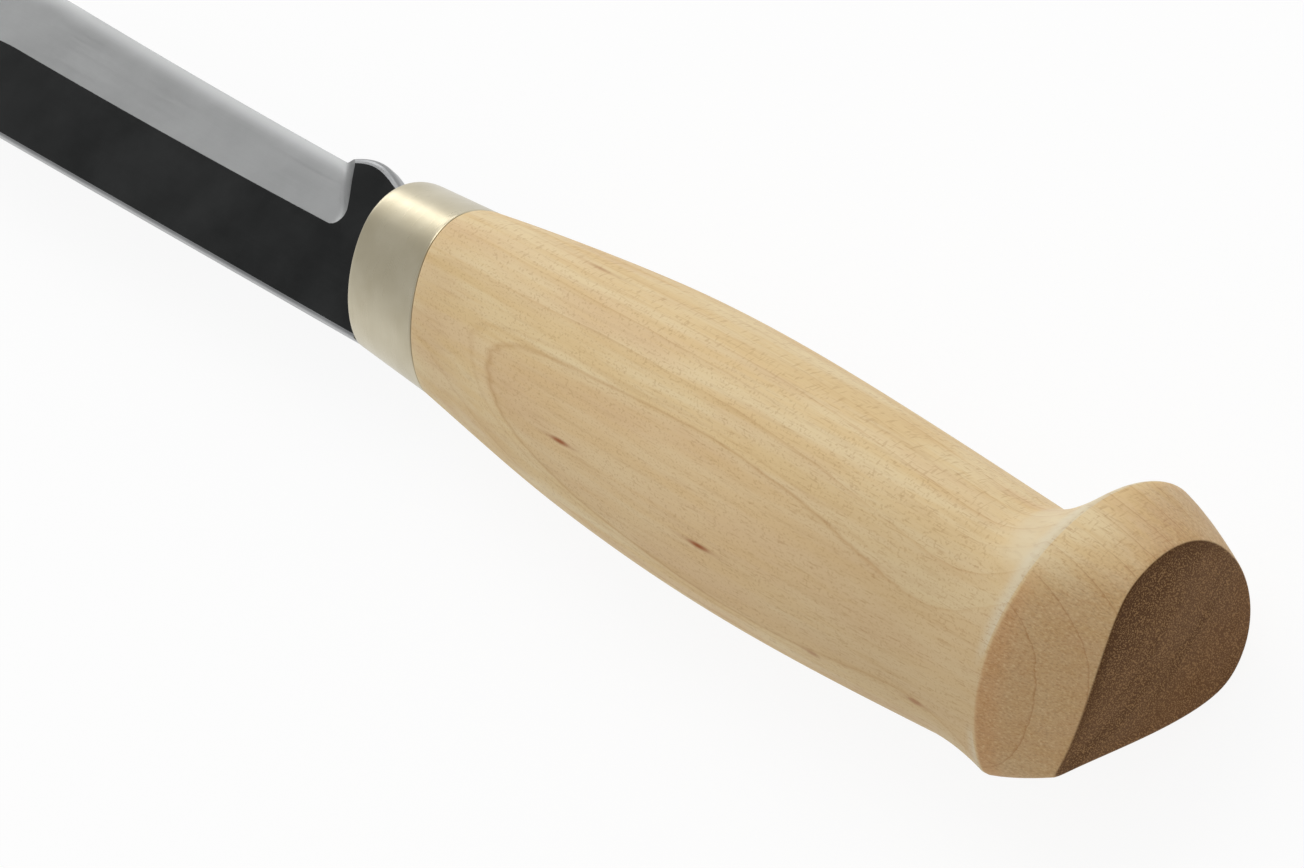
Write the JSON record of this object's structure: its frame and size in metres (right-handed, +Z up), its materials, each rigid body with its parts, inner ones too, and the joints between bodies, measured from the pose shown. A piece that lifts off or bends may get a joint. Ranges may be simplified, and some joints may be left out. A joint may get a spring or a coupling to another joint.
{
  "type": "puukko knife",
  "caption": "Fixed-blade belt knife with a hidden tang, a bevel-ground steel blade, a metal ferrule and a shaped birch handle that flares to a beaked butt.",
  "frame": {"origin": "on the surface that the knife lies on, under the middle of its bounding box", "axes": "+X along the knife from the butt to the point, +Y towards the spine of the blade, +Z up, out of the blade's upper flat"},
  "size_m": [0.2214, 0.0318, 0.0228],
  "materials": {
    "blade_steel": "flats polished dark, bevels ground to a satin grey",
    "nickel_silver": "nickel silver, satin polished",
    "birch": "sanded and oiled, end grain dark",
    "epoxy": "set adhesive, out of sight"
  },
  "bodies": {
    "root": {"blade": "blade_steel", "ferrule": "nickel_silver", "handle": "birch", "tang_adhesive": "epoxy"}
  },
  "joints": []
}
